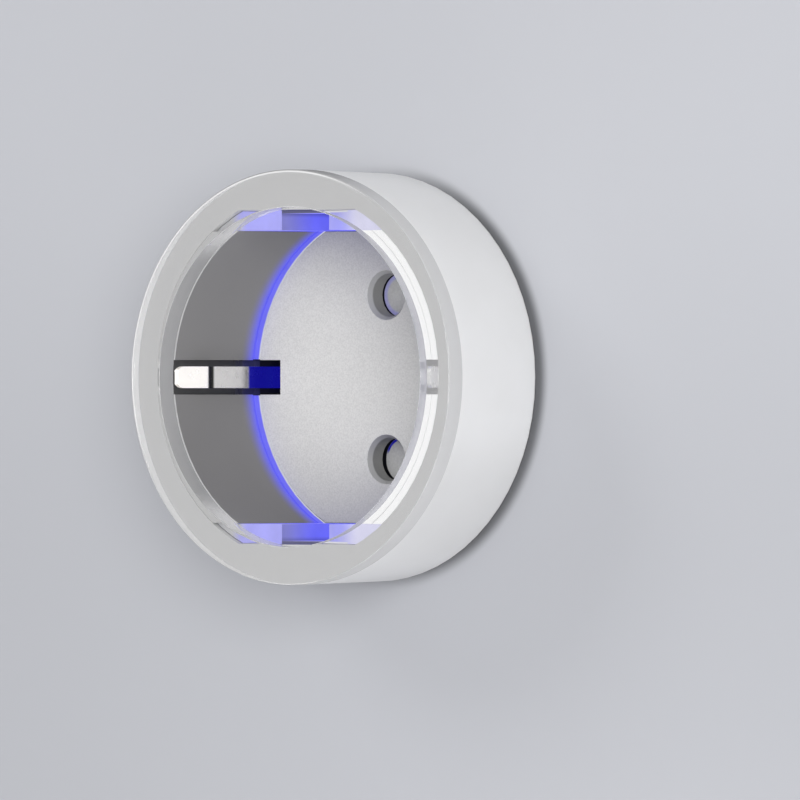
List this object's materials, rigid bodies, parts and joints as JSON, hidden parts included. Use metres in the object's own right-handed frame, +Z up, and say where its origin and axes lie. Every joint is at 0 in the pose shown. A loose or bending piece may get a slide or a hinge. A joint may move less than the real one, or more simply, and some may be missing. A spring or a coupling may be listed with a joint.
{
  "type": "smart plug",
  "caption": "Round mains adapter with a recessed socket in front, a lit ring, sprung earth clips, a safety shutter, a side button, and pins on a narrower boss behind.",
  "frame": {"origin": "centre of the boss's rear face, midway between the two pins", "axes": "+Y out of the rear face along the pins, so the socket faces -Y; +Z up through the live pin; +X to the right seen from the front"},
  "size_m": [0.0476, 0.065, 0.0476],
  "materials": {
    "shell": "satin white, faint moulded grain",
    "lens": "clear, polished",
    "guide": "translucent, lit from behind",
    "liner": "matte grey-white",
    "plate": "fine matte speckle",
    "shutter": "satin grey",
    "carrier": "matte black",
    "nickel": "nickel plated, satin",
    "brass": "rolled brass strip",
    "copper": "enamelled copper wire",
    "steel": "zinc plated",
    "board": "solder mask on glass laminate",
    "led": "clear resin over a lit chip",
    "sleeve": "printed sleeve, no lettering"
  },
  "bodies": {
    "housing": {"lens_ring": "lens", "front_shell": "shell", "rear_shell": "shell", "recess_liner": "liner", "light_guide_upper": "guide", "light_guide_lower": "guide", "face_plate": "plate", "shutter_spring": "steel", "contact_carrier": "carrier", "live_contact": "brass", "neutral_contact": "brass", "earth_strap": "nickel", "rear_earth_strip_right": "nickel", "rear_earth_strip_left": "nickel", "earth_sleeve": "nickel", "live_pin": "nickel", "neutral_pin": "nickel", "led_board": "board", "led_1": "led", "led_2": "led", "led_3": "led", "led_4": "led", "led_5": "led", "led_6": "led", "led_7": "led", "led_8": "led", "power_board": "board", "relay_cover": "carrier", "relay_core": "steel", "relay_coil": "copper", "storage_capacitor": "sleeve", "transformer": "copper", "fuse": "liner", "radio_board": "board", "radio_shield": "nickel", "antenna": "copper", "board_header": "carrier", "tact_switch": "steel", "button_board": "board", "case_screw_1": "steel", "case_screw_2": "steel"},
    "shutter": {"safety_shutter": "shutter"},
    "button": {"button_cap": "shell", "switch_plunger": "carrier"},
    "earth_clip_left": {"earth_clip_left": "nickel"},
    "earth_clip_right": {"earth_clip_right": "nickel"},
    "relay_armature": {"relay_armature": "steel"}
  },
  "joints": [
    {"name": "shutter_turn", "type": "hinge", "parent": "housing", "child": "shutter", "pos_m": [0, -0.0251, 0], "axis": [0, 1, 0], "range_deg": [0, 42], "stiffness_Nm_per_rad": 0.0002},
    {"name": "button_press", "type": "slide", "parent": "housing", "child": "button", "axis": [0.7071, 0, -0.7071], "range_m": [0, 0.0006], "stiffness_N_per_m": 20},
    {"name": "earth_clip_left_flex", "type": "hinge", "parent": "housing", "child": "earth_clip_left", "pos_m": [-0.0186, -0.0223, 0], "axis": [0, 0, -1], "range_deg": [0, 3.5], "stiffness_Nm_per_rad": 0.01},
    {"name": "earth_clip_right_flex", "type": "hinge", "parent": "housing", "child": "earth_clip_right", "pos_m": [0.0186, -0.0223, 0], "axis": [0, 0, 1], "range_deg": [0, 3.5], "stiffness_Nm_per_rad": 0.01},
    {"name": "relay_pull", "type": "hinge", "parent": "housing", "child": "relay_armature", "pos_m": [-0.0094, -0.01695, -0.0049], "axis": [-1, 0, 0], "range_deg": [0, 3.3], "stiffness_Nm_per_rad": 0.001}
  ]
}
